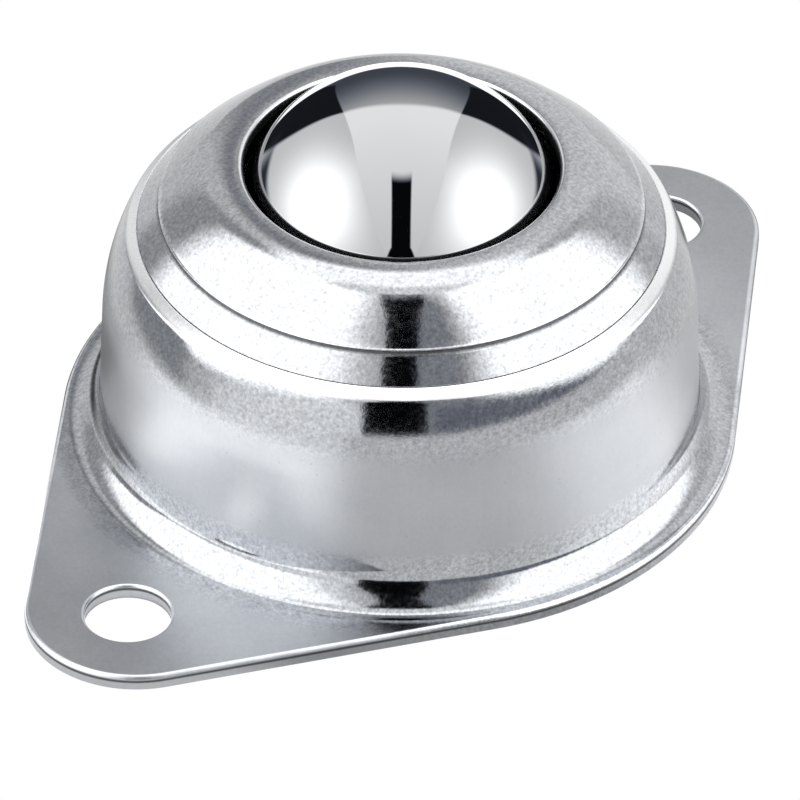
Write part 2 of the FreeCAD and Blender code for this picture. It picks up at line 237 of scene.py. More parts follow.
cap_profile = (
    chain([(CAP_RING_R, CAP_TOP, 0), (CAP_OPEN_R, CAP_TOP, 0.40),
           (CAP_OPEN_R, CAP_TOP - 0.41, 0)], "", round_tag="edge", steps=6)
    + chain([(CAP_OPEN_R, CAP_TOP - 0.41, 0), (CAP_OPEN_R, CAP_TOP - CAP_T, 0.15),
             (CAP_RING_R, CAP_TOP - CAP_T, 0)], "bore", steps=6)
    + [arc(ring_c, CAP_BEND_R - CAP_T, 90.0, CAP_N1, "inside"),
       arc(dome_c1, CAP_DOME_R1 - CAP_T, CAP_N1, CAP_N2, "inside"),
       arc(dome_c2, CAP_DOME_R2 - CAP_T, CAP_N2, CAP_N3, "inside")]
    + chain([(*d_3, 0), (*b_1, 0.5), (*k_1, 0.5), (*k_e, 0)], "inside")
    + [arc(sh_c, SHOULDER_R - gap - CAP_T, LIP_N, WALL_TAPER, "inside")]
    + chain([(*cap_si, 0), (*cap_sk_i, 0.25), (*cap_sk_o, 0.25), (*cap_so, 0)], "inside")
    + [arc(sh_c, SHOULDER_R - gap, WALL_TAPER, LIP_N, "inside")]
    + chain([(*cap_i, 0), (*cap_j, 0.12), (*cap_g, 0.06), (*band_hi, 0.20),
             (*gutter, 0)], "band", steps=4)
    + [line(gutter, groove, "gutter")]
    + chain([(*groove, 0), (*edge_p, 0.06), (*p_n3, 0)], "press", steps=4)
    + [arc(dome_c2, CAP_DOME_R2, CAP_N3, CAP_N2, ""),
       arc(dome_c1, CAP_DOME_R1, CAP_N2, CAP_N1, ""),
       arc(ring_c, CAP_BEND_R, CAP_N1, 90.0, "", step=1.5)])

zi = RACE_TOP - BALL_Z
a_i = math.degrees(math.asin(zi / RACE_RI))
a_o = math.degrees(math.asin((zi - 0.3) / RACE_RO))
c0 = (0.0, BALL_Z)
rim_i = add(c0, nrm(a_i), RACE_RI)
rim_o = add(c0, nrm(a_o), RACE_RO)
race_profile = [arc(c0, RACE_RI, -90.0, a_i, "track", reach=0.5),
                line(rim_i, (rim_o[0] - 0.3, RACE_TOP), "edge"),
                line((rim_o[0] - 0.3, RACE_TOP), rim_o, "edge"),
                arc(c0, RACE_RO, a_o, -90.0, "", reach=0.5)]

seat_z = PLATE_Z + PLATE_T
seat_r = math.sqrt(RACE_RO ** 2 - (BALL_Z - seat_z) ** 2) + 0.02


def in_wall(z, extra):
    return wall_r(z) - (SHEET + extra) / cosw


pts = [(seat_r, seat_z, 0.05), (seat_r, PLATE_Z, 0.15),
       (in_wall(PLATE_Z, CAP_FIT), PLATE_Z, PLATE_BEND_R + PLATE_T),
       (in_wall(PLATE_TOP, CAP_FIT), PLATE_TOP, 0.25),
       (in_wall(PLATE_TOP, CAP_FIT + PLATE_T), PLATE_TOP, 0.25),
       (in_wall(seat_z, CAP_FIT + PLATE_T), seat_z, PLATE_BEND_R)]
mid = (0.5 * (pts[5][0] + pts[0][0]), seat_z)
plate_profile = chain([(*mid, 0)] + pts + [(*mid, 0)], "", steps=5)


# ------------------------------------------------------------------ meshes
class Body:
    # patches of corner positions and corner normals, welded by position
    def __init__(self):
        self.v, self.n, self.e, self.f, self.count = [], [], [], [], 0

    def grid(self, pos, nor, edge, closed=False):
        # pos, nor: (rows, cols, 3); edge: masks of edge wear with painted highlight, of painted highlight, and of cut
        # faces with painted shade, (rows, cols, 3)
        r, c = pos.shape[:2]
        i = np.arange(r * c).reshape(r, c) + self.count
        if closed:
            i = np.concatenate([i, i[:, :1]], 1)
        q = np.stack([i[:-1, :-1], i[:-1, 1:], i[1:, 1:], i[1:, :-1]], -1).reshape(-1, 4)
        self.v.append(pos.reshape(-1, 3))
        self.n.append(nor.reshape(-1, 3))
        self.e.append(np.broadcast_to(edge, (r, c, 3)).reshape(-1, 3))
        self.f.append(q)
        self.count += r * c

    def tris(self, pos, nor, edge, tri):
        self.v.append(pos)
        self.n.append(nor)
        self.e.append(edge)
        t = np.asarray(tri) + self.count
        self.f.append(np.concatenate([t, -np.ones((len(t), 1), int)], 1))
        self.count += len(pos)

    def build(self, name):
        v = np.concatenate(self.v)
        n = np.concatenate(self.n)
        e = np.concatenate(self.e)
        f = np.concatenate(self.f)
        key = np.round(v / 2e-5).astype(np.int64)
        _, first, inv = np.unique(key, axis=0, return_index=True, return_inverse=True)
        inv = inv.reshape(-1)
        verts = v[first]
        edge = np.zeros((len(first), 3))
        np.maximum.at(edge, inv, e)
        # keep each vertex of a polygon once, then drop polygons left with fewer than three corners
        faces, normals = [], []
        for row in f:
            ids, cor = [], []
            for k in row:
                if k < 0:
                    continue
                w = int(inv[k])
                if w in ids:
                    continue
                ids.append(w)
                cor.append(int(k))
            if len(ids) < 3:
                continue
            faces.append(ids)
            normals.append(cor)
        p = verts
        keep_f, keep_n = [], []
        for ids, cor in zip(faces, normals):
            a, b, c = p[ids[0]], p[ids[1]], p[ids[2]]
            g = np.cross(b - a, c - a)
            if len(ids) == 4:
                d = p[ids[3]]
                g = g + np.cross(c - a, d - a)
            m = n[cor].sum(0)
            if g @ m < 0:
                ids, cor = ids[::-1], cor[::-1]
            keep_f.append(ids)
            keep_n.extend(cor)
        mesh = bpy.data.meshes.new(name)
        mesh.from_pydata((verts * 0.001).tolist(), [], keep_f)
        mesh.polygons.foreach_set("use_smooth", np.ones(len(mesh.polygons), bool))
        cn = n[keep_n]
        cn = cn / np.maximum(np.linalg.norm(cn, axis=1, keepdims=True), 1e-12)
        mesh.normals_split_custom_set(cn.tolist())
        for i, label in enumerate(("wear_glint_shadow_mask", "painted_highlight_mask", "cut_face_and_shade_mask")):
            at = mesh.attributes.new(label, "FLOAT", "POINT")
            at.data.foreach_set("value", np.ascontiguousarray(edge[:, i], np.float32))
        mesh.update()
        ob = bpy.data.objects.new(name, mesh)
        bpy.context.scene.collection.objects.link(ob)
        return ob


def lathe(body, pieces, wobble=None):
    # closed or open profile, turned about Z; the normal is on the right of travel
    # for a profile walked so that its solid lies on the left
    flat = [p for piece, _ in pieces for p in piece]
    area = sum(flat[i - 1][0] * flat[i][1] - flat[i][0] * flat[i - 1][1] for i in range(len(flat)))
    side = 1.0 if area > 0 else -1.0
    ang = np.radians(np.arange(TURNS) * 360.0 / TURNS)
    ca, sa = np.cos(ang), np.sin(ang)
    for piece, tag in pieces:
        q = np.array(piece, float)
        t = np.gradient(q, axis=0)
        if len(q) > 2:
            # exact end tangents of an arc or a line
            d0, d1 = q[1] - q[0], q[2] - q[1]
            t[0] = d0 + 0.5 * (d0 - d1)
            d0, d1 = q[-1] - q[-2], q[-2] - q[-3]
            t[-1] = d0 + 0.5 * (d0 - d1)
        t /= np.linalg.norm(t, axis=1, keepdims=True)
        nn = side * np.stack([t[:, 1], -t[:, 0]], 1)
        if tag == "lip":
            # the round is rolled into a narrow bright land: its normals gather there
            share = np.linspace(0.0, 1.0, len(q))
            own = np.degrees(np.arctan2(nn[:, 1], nn[:, 0]))
            f = np.clip((share - 0.10) / 0.22, 0.0, 1.0)
            f = f * f * (3.0 - 2.0 * f)
            tilt = np.radians(own + f * (np.maximum(own, 58.0 + 8.0 * share) - own))
            nn = np.stack([np.cos(tilt), np.sin(tilt)], 1)
        pos = np.stack([q[:, :1] * ca, q[:, :1] * sa, np.repeat(q[:, 1:], TURNS, 1)], -1)
        nor = np.stack([nn[:, :1] * ca, nn[:, :1] * sa, np.repeat(nn[:, 1:], TURNS, 1)], -1)
        mask = np.zeros((len(q), 1, 3))
        if tag == "lip":
            # painted highlight: the rolled lip is lifted towards white, strongest over the top of the round, gone at
            # its foot
            mask[:, 0, 1] = np.clip(np.linspace(-0.35, 2.6, len(q)), 0.0, 1.0)
            mask[:, 0, 0] = 0.3 * mask[:, 0, 1]
        elif tag == "edge":
            # the opening's round: a painted highlight, near white, along its upper part, and painted shade, dark
            # almost to black, from its middle on down into the gap to the ball
            share = np.linspace(0.0, 1.0, len(q))
            mask[:, 0, 0] = np.clip(1.0 - np.abs(share - 0.30) / 0.28, 0.0, 1.0)
            mask[:, 0, 1] = 0.8 * mask[:, 0, 0]
            mask[:, 0, 2] = 2.2 * np.clip((share - 0.50) / 0.15, 0.0, 1.0)
        elif tag == "press":
            # painted highlight: the press line is brightened along its flare
            mask[:, 0, 0] = 0.8
        elif tag == "gutter":
            # painted shade: the groove is darkened almost to black
            mask[:, 0, 2] = 1.9
        elif tag in ("bore", "inside"):
            # painted shade: the bore is darkened almost to black as the unlit gap, the inner faces darkened as shade
            mask[:, 0, 2] = 2.2 if tag == "bore" else 1.2
        elif tag == "cut_and_shade":
            # the bare cut face of the lip: darker, duller steel
            mask[:, 0, 2] = 1.0
        body.grid(pos, nor, mask, closed=True)
    return body


def outline(extra_step=0.27):
    # the flange's outline: points, outward normals, run length; counter-clockwise
    beta = math.acos((FL_WAIST_R - FL_LOBE_R) / FL_LOBE_X)
    bd = math.degrees(beta)
    out = []

    def arc2(cx, cy, r, a0, a1):
        n = max(2, int(math.radians(a1 - a0) * r / extra_step))
        for i in range(n):
            a = math.radians(a0 + (a1 - a0) * i / n)
            out.append((cx + r * math.cos(a), cy + r * math.sin(a), math.cos(a), math.sin(a)))

    def run(p, q, a):
        n = max(2, int(math.dist(p, q) / extra_step))
        for i in range(n):
            out.append((p[0] + (q[0] - p[0]) * i / n, p[1] + (q[1] - p[1]) * i / n,
                        math.cos(a), math.sin(a)))

    def on(cx, r, a):
        return (cx + r * math.cos(math.radians(a)), r * math.sin(math.radians(a)))

    arc2(FL_LOBE_X, 0, FL_LOBE_R, -bd, bd)
    run(on(FL_LOBE_X, FL_LOBE_R, bd), on(0, FL_WAIST_R, bd), beta)
    arc2(0, 0, FL_WAIST_R, bd, 180 - bd)
    run(on(0, FL_WAIST_R, 180 - bd), on(-FL_LOBE_X, FL_LOBE_R, 180 - bd), math.pi - beta)
    arc2(-FL_LOBE_X, 0, FL_LOBE_R, 180 - bd, 180 + bd)
    run(on(-FL_LOBE_X, FL_LOBE_R, 180 + bd), on(0, FL_WAIST_R, 180 + bd), math.pi + beta)
    arc2(0, 0, FL_WAIST_R, 180 + bd, 360 - bd)
    run(on(0, FL_WAIST_R, 360 - bd), on(FL_LOBE_X, FL_LOBE_R, 360 - bd), 2 * math.pi - beta)
    return np.array(out)


def smooth_noise(n, cells, rng):
    # periodic smooth random curve of n samples
    knots = rng.uniform(-1, 1, cells)
    x = np.arange(n) * cells / n
    i = np.floor(x).astype(int)
    t = x - i
    t = t * t * (3 - 2 * t)
    return knots[i % cells] * (1 - t) + knots[(i + 1) % cells] * t


def rim(body, loop, r_top, r_low, rng, sign=1.0, tear=0.035):
    # punched edge of the sheet along a loop (x, y, nx, ny): rolled-over top,
    # smooth sheared band, then the torn lower band with its fine upright lines.
    # sign is +1 for the outside and -1 for a hole. Returns the top and bottom loops.
    n = len(loop)
    prof = []
    # each row: offset, height, normal, brightening of the rolled top as wear and painted highlight, tearing, and
    # darkening of the cut face, darkest in a line where the roll turns down onto it
    for k in range(9):
        a = math.radians(90 - 90 * k / 8)
        prof.append((-r_top + r_top * math.cos(a), SHEET - r_top + r_top * math.sin(a),
                     math.cos(a), math.sin(a), (0.0, 0.5, 1.0, 1.0, 1.0, 0.9, 0.4, 0.0, 0.0)[k],
                     0.0, (0.0, 0.0, 0.0, 0.0, 0.0, 0.0, 0.3, 1.4, 2.1)[k]))
    zs = np.linspace(SHEET - r_top, r_low, 9)[1:]
    for j, z in enumerate(zs):
        share = (j + 1) / len(zs)
        torn = max(0.0, min(1.0, (share - 0.45) / 0.2))
        prof.append((0.0, z, 1.0, 0.0, 0.0, torn, 1.9 if j == 0 else 1.0))
    for k in range(1, 5):
        a = math.radians(-90 * k / 4)
        prof.append((-r_low + r_low * math.cos(a), r_low + r_low * math.sin(a),
                     math.cos(a), math.sin(a), 0.3, max(0.0, 1 - k / 3), 0.6))
    streak = (0.55 * smooth_noise(n, n // 2, rng) + 0.3 * smooth_noise(n, n // 5, rng)
              + 0.25 * smooth_noise(n, n // 17, rng))
    wave = smooth_noise(n, max(6, n // 30), rng)
    rows = []
    for o, z, a, b, e, torn, cut_face in prof:
        push = o + torn * (-tear * 0.6 + tear * 0.45 * (streak + wave) * 0.5)
        x = loop[:, 0] + sign * push * loop[:, 2]
        y = loop[:, 1] + sign * push * loop[:, 3]
        rows.append(np.stack([x, y, np.full(n, z)], 1))
    pos = np.array(rows)
    nor = np.array([np.stack([sign * p[2] * loop[:, 2], sign * p[2] * loop[:, 3],
                              np.full(n, p[3])], 1) for p in prof])
    # true normals where the face is torn
    du = np.roll(pos, -1, 1) - np.roll(pos, 1, 1)
    dv = np.gradient(pos, axis=0)
    g = np.cross(du, dv)
    g /= np.maximum(np.linalg.norm(g, axis=-1, keepdims=True), 1e-12)
    g *= np.sign((g * nor).sum(-1, keepdims=True))
    w = np.array([p[5] for p in prof])[:, None, None]
    w[-1] = 0
    nor = nor * (1 - w) + g * w
    mask = np.zeros((len(prof), n, 3))
    mask[:, :, 0] = np.array([p[4] for p in prof])[:, None]
    mask[:, :, 2] = np.array([p[6] for p in prof])[:, None]
    body.grid(pos.transpose(0, 1, 2), nor, mask, closed=True)
    return pos[0], pos[-1]


def sheet_face(body, z, outer, circles, normal_z, step=1.5):
    # flat face between the outer loop and the inner circles, with an even net inside
    pts2, edges, group, exact = [], [], [], []

    def loop_in(p, g):
        s = len(pts2)
        for a in p:
            pts2.append(Vector((float(a[0]), float(a[1]))))
            exact.append((float(a[0]), float(a[1])))
            group.append(g)
        m = len(p)
        for i in range(m):
            edges.append((s + i, s + (i + 1) % m))

    loop_in(outer, 0)
    for g, c in enumerate(circles, 1):
        loop_in(c, g)
    o = np.array(outer)[:, :2]
    xs = np.arange(-40, 40.01, step)
    for iy, y in enumerate(np.arange(-27, 27.01, step * 0.866)):
        for x in xs + (0.5 * step if iy % 2 else 0):
            if math.hypot(x, y) < foot_r + 0.5:
                continue
            if any(math.hypot(x - s * FL_PITCH / 2, y) < FL_HOLE_D / 2 + 0.8 for s in (-1, 1)):
                continue
            d = np.hypot(o[:, 0] - x, o[:, 1] - y).min()
            ang = math.degrees(math.acos((FL_WAIST_R - FL_LOBE_R) / FL_LOBE_X))
            b = math.radians(ang)
            inside = (abs(x) * math.cos(b) + abs(y) * math.sin(b) < FL_WAIST_R - 0.9
                      and abs(x) > FL_WAIST_R * math.cos(b)
                      and (abs(x) < FL_LOBE_X or math.hypot(abs(x) - FL_LOBE_X, y) < FL_LOBE_R - 0.9))
            if inside and d > 0.6:
                pts2.append(Vector((float(x), float(y))))
                exact.append((float(x), float(y)))
                group.append(-1)
    vs, es, fs, ov, oe, of_ = delaunay_2d_cdt(pts2, edges, [], 0, 1e-7)
    g_out = [group[a[0]] if a else -1 for a in ov]
    tri = []
    for f in fs:
        gs = {g_out[i] for i in f}
        if len(gs) == 1 and next(iter(gs)) > 0:
            continue
        a, b, c = (vs[i] for i in f[:3])
        if abs((b - a).cross(c - a)) < 2e-3 * max((b - a).length, (c - b).length, (a - c).length):
            continue
        tri.append(list(f[:3]))
    used = np.array([[*(exact[o_[0]] if o_ else (p.x, p.y)), z] for p, o_ in zip(vs, ov)])
    nor = np.zeros_like(used)
    nor[:, 2] = normal_z
    body.tris(used, nor, np.zeros((len(used), 3)), tri)


# the housing: turned body, punched flange round it
rng = np.random.default_rng(417)
house = Body()
lathe(house, housing_profile)
out_loop = outline()
top_o, low_o = rim(house, out_loop, FL_EDGE_R, 0.06, rng)
holes_top, holes_low = [], []
for sx in (-1, 1):
    a = np.radians(np.arange(0, 360, 3.0))
    hl = np.stack([sx * FL_PITCH / 2 + FL_HOLE_D / 2 * np.cos(a), FL_HOLE_D / 2 * np.sin(a),
                   np.cos(a), np.sin(a)], 1)
    t, b = rim(house, hl, HOLE_EDGE_R, 0.05, rng, sign=-1.0, tear=0.03)
    holes_top.append(t)
    holes_low.append(b)
ang = np.radians(np.arange(TURNS) * 360.0 / TURNS)
foot = np.stack([foot_r * np.cos(ang), foot_r * np.sin(ang)], 1)
sheet_face(house, SHEET, top_o, [foot] + holes_top, 1.0)
sheet_face(house, 0.0, low_o, [foot] + holes_low, -1.0)
housing = house.build("housing_shell")

cap = lathe(Body(), cap_profile).build("cap_dome")
race = lathe(Body(), race_profile).build("race_bowl")
plate = lathe(Body(), plate_profile).build("base_dish")


def quad_sphere(name, radius, centre_z, n=72):
    # six curved squares, evenly spaced, welded into one ball
    b = Body()
    u = np.tan(np.linspace(-math.pi / 4, math.pi / 4, n + 1))
    a, c = np.meshgrid(u, u)
    one = np.ones_like(a)
    for face in ([a, c, one], [a, c, -one], [a, one, c], [a, -one, c], [one, a, c], [-one, a, c]):
        d = np.stack(face, -1)
        d /= np.linalg.norm(d, axis=-1, keepdims=True)
        b.grid(d * radius + np.array([0, 0, centre_z]), d, 0.0)
    return b.build(name)


ball = quad_sphere("load_ball_polished", BALL_R, BALL_Z)

for ob, body, slot, node in (
        (housing, "housing", "plated_housing", "flange_housing"),
        (cap, "housing", "plated_cap", "top_cap"),
        (race, "housing", "hardened_race", "race_cup"),
        (plate, "housing", "plated_base", "bottom_plate"),
        (ball, "load_ball", "polished_ball", "main_ball")):
    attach(ob, body)
    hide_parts(node)


# ------------------------------------------------------------------ shader helpers
class Nodes:
    def __init__(self, tree):
        self.t = tree
        tree.nodes.clear()

    def new(self, kind, **props):
        n = self.t.nodes.new(kind)
        for k, v in props.items():
            setattr(n, k, v)
        return n

    def put(self, socket, value):
        if isinstance(value, Val):
            value = value.s
        if isinstance(value, bpy.types.NodeSocket):
            self.t.links.new(value, socket)
        else:
            socket.default_value = value

    def val(self, socket):
        return Val(self, socket)

    def m(self, op, a, b=None, c=None, clamp=False):
        n = self.new("ShaderNodeMath", operation=op, use_clamp=clamp)
        for i, x in enumerate((a, b, c)):
            if x is not None:
                self.put(n.inputs[i], x)
        return Val(self, n.outputs[0])

    def ramp(self, x, a, b, lo=0.0, hi=1.0, kind="SMOOTHSTEP"):
        n = self.new("ShaderNodeMapRange", interpolation_type=kind)
        n.clamp = True
        for k, v in zip(("Value", "From Min", "From Max", "To Min", "To Max"), (x, a, b, lo, hi)):
            self.put(n.inputs[k], v)
        return Val(self, n.outputs["Result"])

    def mix(self, f, a, b):
        # scalar mix
        n = self.new("ShaderNodeMix", data_type="FLOAT")
        self.put(n.inputs["Factor"], f)
        self.put(n.inputs[2], a)
        self.put(n.inputs[3], b)
        return Val(self, n.outputs[0])

    def mixc(self, f, a, b, blend="MIX"):
        n = self.new("ShaderNodeMix", data_type="RGBA", blend_type=blend)
        self.put(n.inputs["Factor"], f)
        self.put(n.inputs[6], a)
        self.put(n.inputs[7], b)
        return n.outputs[2]

    def noise(self, vec, scale, detail=2.0, rough=0.5, lac=2.0, dist=0.0, kind=None):
        n = self.new("ShaderNodeTexNoise")
        if kind:
            n.noise_type = kind
        self.put(n.inputs["Vector"], vec)
        self.put(n.inputs["Scale"], scale)
        self.put(n.inputs["Detail"], detail)
        self.put(n.inputs["Roughness"], rough)
        self.put(n.inputs["Lacunarity"], lac)
        self.put(n.inputs["Distortion"], dist)
        return Val(self, n.outputs["Fac"])

    def voronoi(self, vec, scale, feature="F1"):
        n = self.new("ShaderNodeTexVoronoi", feature=feature)
        self.put(n.inputs["Vector"], vec)
        self.put(n.inputs["Scale"], scale)
        return n

    def scaled(self, vec, s):
        n = self.new("ShaderNodeMapping")
        self.put(n.inputs["Vector"], vec)
        n.inputs["Scale"].default_value = s
        return n.outputs[0]

    def bump(self, height, distance, strength=1.0, normal=None):
        n = self.new("ShaderNodeBump")
        self.put(n.inputs["Height"], height)
        self.put(n.inputs["Distance"], distance)
        self.put(n.inputs["Strength"], strength)
        if normal is not None:
            self.put(n.inputs["Normal"], normal)
        return n.outputs[0]


class Val:
    def __init__(self, nodes, socket):
        self.k, self.s = nodes, socket

    def __add__(self, o):
        return self.k.m("ADD", self, o)

    __radd__ = __add__

    def __sub__(self, o):
        return self.k.m("SUBTRACT", self, o)

    def __rsub__(self, o):
        return self.k.m("SUBTRACT", o, self)

    def __mul__(self, o):
        return self.k.m("MULTIPLY", self, o)

    __rmul__ = __mul__

    def __truediv__(self, o):
        return self.k.m("DIVIDE", self, o)

    def __pow__(self, o):
        return self.k.m("POWER", self, o)

    def abs(self):
        return self.k.m("ABSOLUTE", self)


def material(name):
    m = bpy.data.materials.new(name)
    m.use_nodes = True
    k = Nodes(m.node_tree)
    out = k.new("ShaderNodeOutputMaterial")
    p = k.new("ShaderNodeBsdfPrincipled")
    m.node_tree.links.new(p.outputs[0], out.inputs["Surface"])
    tc = k.new("ShaderNodeTexCoord").outputs["Object"]
    return m, k, p, tc


def zinc(name, light, dark, rough, grain=1.0, scale=1.0, streak=0.5, wall=False):
    # satin zinc plating on pressed steel: fine speckled grain, faint drawing lines,
    # worn edges brighter, partly as painted highlight, the lip and the opening's edge lifted near white as a painted
    # highlight, punched faces darker and duller, and the bore, the groove and inner faces darkened as painted shade
    m, k, p, tc = material(name)
    fine = k.noise(tc, 5200.0 * scale, 1.0, 0.5)
    mid_ = k.noise(tc, 2900.0 * scale, 2.0, 0.55)
    broad = k.noise(tc, 240.0, 3.0, 0.55)
    large = k.noise(tc, 60.0, 2.0, 0.5)
    drawn = k.noise(k.scaled(tc, (1.0, 1.0, 0.06)), 1400.0, 2.0, 0.6)

    def mask(label):
        return k.val(k.new("ShaderNodeAttribute", attribute_name=label).outputs["Fac"])

    # masks: edge wear with painted highlight; a painted highlight on the lip and the opening's edge; cut faces, with
    # painted shade in the bore, the groove and inside
    wear_and_glint = mask("wear_glint_shadow_mask") * k.ramp(broad, 0.30, 0.62, 0.45, 1.0)
    painted_highlight = mask("painted_highlight_mask")
    cut_and_shade = mask("cut_face_and_shade_mask")
    tone = k.m("ADD", 0.9 * (broad - 0.5) + 0.8 * (large - 0.5) + streak * 0.6 * (drawn - 0.5),
               0.5, clamp=True)
    col = k.mixc(tone, (*dark, 1), (*light, 1))
    # the crystals of the plating: light and dark specks, fewer where it is rolled smooth
    sep = k.new("ShaderNodeSeparateXYZ")
    k.put(sep.inputs[0], tc)
    wx, wy, wz = (k.val(sep.outputs[i]) for i in range(3))
    rad = k.m("SQRT", wx * wx + wy * wy)
    if wall:
        # flat flange and straight wall are smoother than the drawn radii
        flat = k.ramp(rad, 0.0256, 0.0275)
        upright = k.ramp(wz, 0.0044, 0.0058) * k.ramp(wz, 0.0132, 0.0158, 1.0, 0.0)
        live = (1.0 - flat * 0.80) * (1.0 - upright * 0.88)
    else:
        live = k.m("ADD", 1.0, 0.0)
    # the crystals of the plating: light and dark specks, fewer where it is rolled smooth under the painted highlight
    live = live * grain
    speck = 1.0 + (1.0 - painted_highlight * 0.85) * live * (0.62 * (fine - 0.5) + 0.95 * (mid_ - 0.5))
    # tiny pits where the plating is thin
    v = k.voronoi(tc, 1500.0 * scale)
    pit = k.ramp(k.val(v.outputs["Distance"]), 0.05, 0.16, 1.0, 0.0) \
        * k.ramp(k.noise(tc, 420.0, 2.0, 0.5), 0.56, 0.66)
    speck = speck * (1.0 - pit * 0.22)
    # painted highlight on worn edges lifts the colour; bare cut faces and the painted shade in the bore, the groove
    # and inside darken it
    speck = speck * (1.0 + wear_and_glint * 0.55) * (1.0 - cut_and_shade * 0.42)
    if wall:
        # painted light: the flange's colour is lifted next to the foot as a pool of reflected light, and darker
        # towards its ends
        speck = speck * (1.0 + flat * k.ramp(rad, 0.0265, 0.0370, 0.10, -0.12))
    col = k.mixc(1.0, col, speck, "MULTIPLY")
    # painted highlight: the colour is lifted towards near white where the highlight mask lies
    col = k.mixc(painted_highlight * 0.9, col, (0.93, 0.935, 0.945, 1))
    k.put(p.inputs["Base Color"], col)
    p.inputs["Metallic"].default_value = 1.0
    r = (rough + live * 0.14 * (mid_ - 0.5) + 0.05 * (broad - 0.5) + pit * 0.10 + cut_and_shade * 0.20
         + painted_highlight * 0.16)
    if wall:
        # the drawn wall is duller than the shoulder above it
        r = r + 0.24 * upright + 0.20 * flat
    k.put(p.inputs["Roughness"], k.m("MAXIMUM", r, 0.05))
    h = live * (0.5 * fine + 0.8 * mid_ - pit * 0.2 + streak * 0.3 * drawn) + cut_and_shade * 0.5 * mid_
    b1_ = k.bump(h, 0.26e-5)
    b2_ = k.bump(broad, 0.3e-5, 1.0, b1_)
    k.put(p.inputs["Normal"], b2_)
    return m


def chrome(name, base, rough, hair=1.0):
    # lapped and polished steel: nearly a mirror, with the faintest crossed hairlines
    m, k, p, tc = material(name)
    haze = k.noise(tc, 110.0, 3.0, 0.5)
    a = k.noise(k.scaled(tc, (1.0, 0.05, 1.0)), 2600.0, 2.0, 0.6)
    b = k.noise(k.scaled(tc, (0.06, 1.0, 0.8)), 2300.0, 2.0, 0.6)
    lines = k.ramp(a, 0.62, 0.75) * 0.6 + k.ramp(b, 0.64, 0.76) * 0.5
    col = k.mixc(haze, (base[0] * 0.96, base[1] * 0.97, base[2] * 0.99, 1), (*base, 1))
    col = k.mixc(lines * 0.05, col, (base[0] * 0.8, base[1] * 0.8, base[2] * 0.82, 1))
    k.put(p.inputs["Base Color"], col)
    p.inputs["Metallic"].default_value = 1.0
    k.put(p.inputs["Roughness"], rough + 0.012 * haze + 0.02 * hair * lines)
    k.put(p.inputs["Normal"], k.bump(haze * 0.5 + lines * 0.06, 0.8e-6 * hair))
    return m


def hardened(name):
    # ground and heat-treated steel: darker, circular grinding marks, faint temper tint
    m, k, p, tc = material(name)
    sep = k.new("ShaderNodeSeparateXYZ")
    k.put(sep.inputs[0], tc)
    z = k.val(sep.outputs[2])
    x, y = k.val(sep.outputs[0]), k.val(sep.outputs[1])
    rr = k.m("SQRT", x * x + y * y)
    ringv = k.new("ShaderNodeCombineXYZ")
    k.put(ringv.inputs[0], rr * 1.0)
    k.put(ringv.inputs[1], z * 1.0)
    rings = k.noise(ringv.outputs[0], 5200.0, 2.0, 0.6)
    cloud = k.noise(tc, 180.0, 4.0, 0.6)
    spots = k.noise(tc, 1400.0, 2.0, 0.6)
    col = k.mixc(cloud, (0.20, 0.205, 0.215, 1), (0.36, 0.345, 0.33, 1))
    col = k.mixc(rings * 0.5, col, (0.30, 0.31, 0.33, 1))
    k.put(p.inputs["Base Color"], col)
    p.inputs["Metallic"].default_value = 1.0
    k.put(p.inputs["Roughness"], 0.24 + 0.14 * (spots - 0.5) + 0.12 * (cloud - 0.5))
    k.put(p.inputs["Normal"], k.bump(rings * 0.7 + spots * 0.3, 5e-6))
    return m


M_HOUSING = zinc("zinc_housing", (0.505, 0.515, 0.535), (0.42, 0.435, 0.46), 0.095, wall=True)
M_CAP = zinc("zinc_cap", (0.505, 0.515, 0.535), (0.43, 0.44, 0.465), 0.085, streak=0.1)
M_BASE = zinc("zinc_base", (0.50, 0.51, 0.53), (0.40, 0.415, 0.44), 0.20, streak=0.3)
M_BALL = chrome("ball_polish", (0.555, 0.56, 0.565), 0.012)
M_SMALL = chrome("small_ball_polish", (0.52, 0.525, 0.535), 0.05, hair=2.0)
M_RACE = hardened("race_steel")


def wear(ob, mat):
    ob.data.materials.clear()
    ob.data.materials.append(mat)


wear(housing, M_HOUSING)
wear(cap, M_CAP)
wear(plate, M_BASE)
wear(race, M_RACE)
wear(ball, M_BALL)
for name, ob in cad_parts.items():
    if name.startswith("support_ball"):
        for s in ob.material_slots:
            s.material = M_SMALL
    elif ob.material_slots:
        ob.material_slots[0].material = {"flange_housing": M_HOUSING, "top_cap": M_CAP,
                                         "race_cup": M_RACE, "bottom_plate": M_BASE,
                                         "main_ball": M_BALL}[name]

# ------------------------------------------------------------------ camera
PHI = 0.8861862
PITCH, ROLL = 0.661954, 0.0109071
CAM = Vector((0.0573, -749.2116, 586.3081)) * 0.001
F_PX, SIDE = 12315.36, 800.0
turn_back = Matrix.Rotation(-PHI, 3, "Z")
fwd = Vector((0, math.cos(PITCH), -math.sin(PITCH)))
right = Vector((1, 0, 0))
upv = Vector((0, math.sin(PITCH), math.cos(PITCH)))
cr, sr = math.cos(ROLL), math.sin(ROLL)
right2 = cr * right + sr * upv
up2 = -sr * right + cr * upv
rot = Matrix((right2, up2, -fwd)).transposed()
cam_data = bpy.data.cameras.new("camera")
cam_data.sensor_width = 36.0
cam_data.lens = 36.0 * F_PX / SIDE
cam_data.clip_start = 0.05
cam_data.clip_end = 20.0
cam = bpy.data.objects.new("camera", cam_data)
cam.matrix_world = Matrix.Translation(turn_back @ CAM) @ (turn_back @ rot).to_4x4()
bpy.context.scene.collection.objects.link(cam)
bpy.context.scene.camera = cam

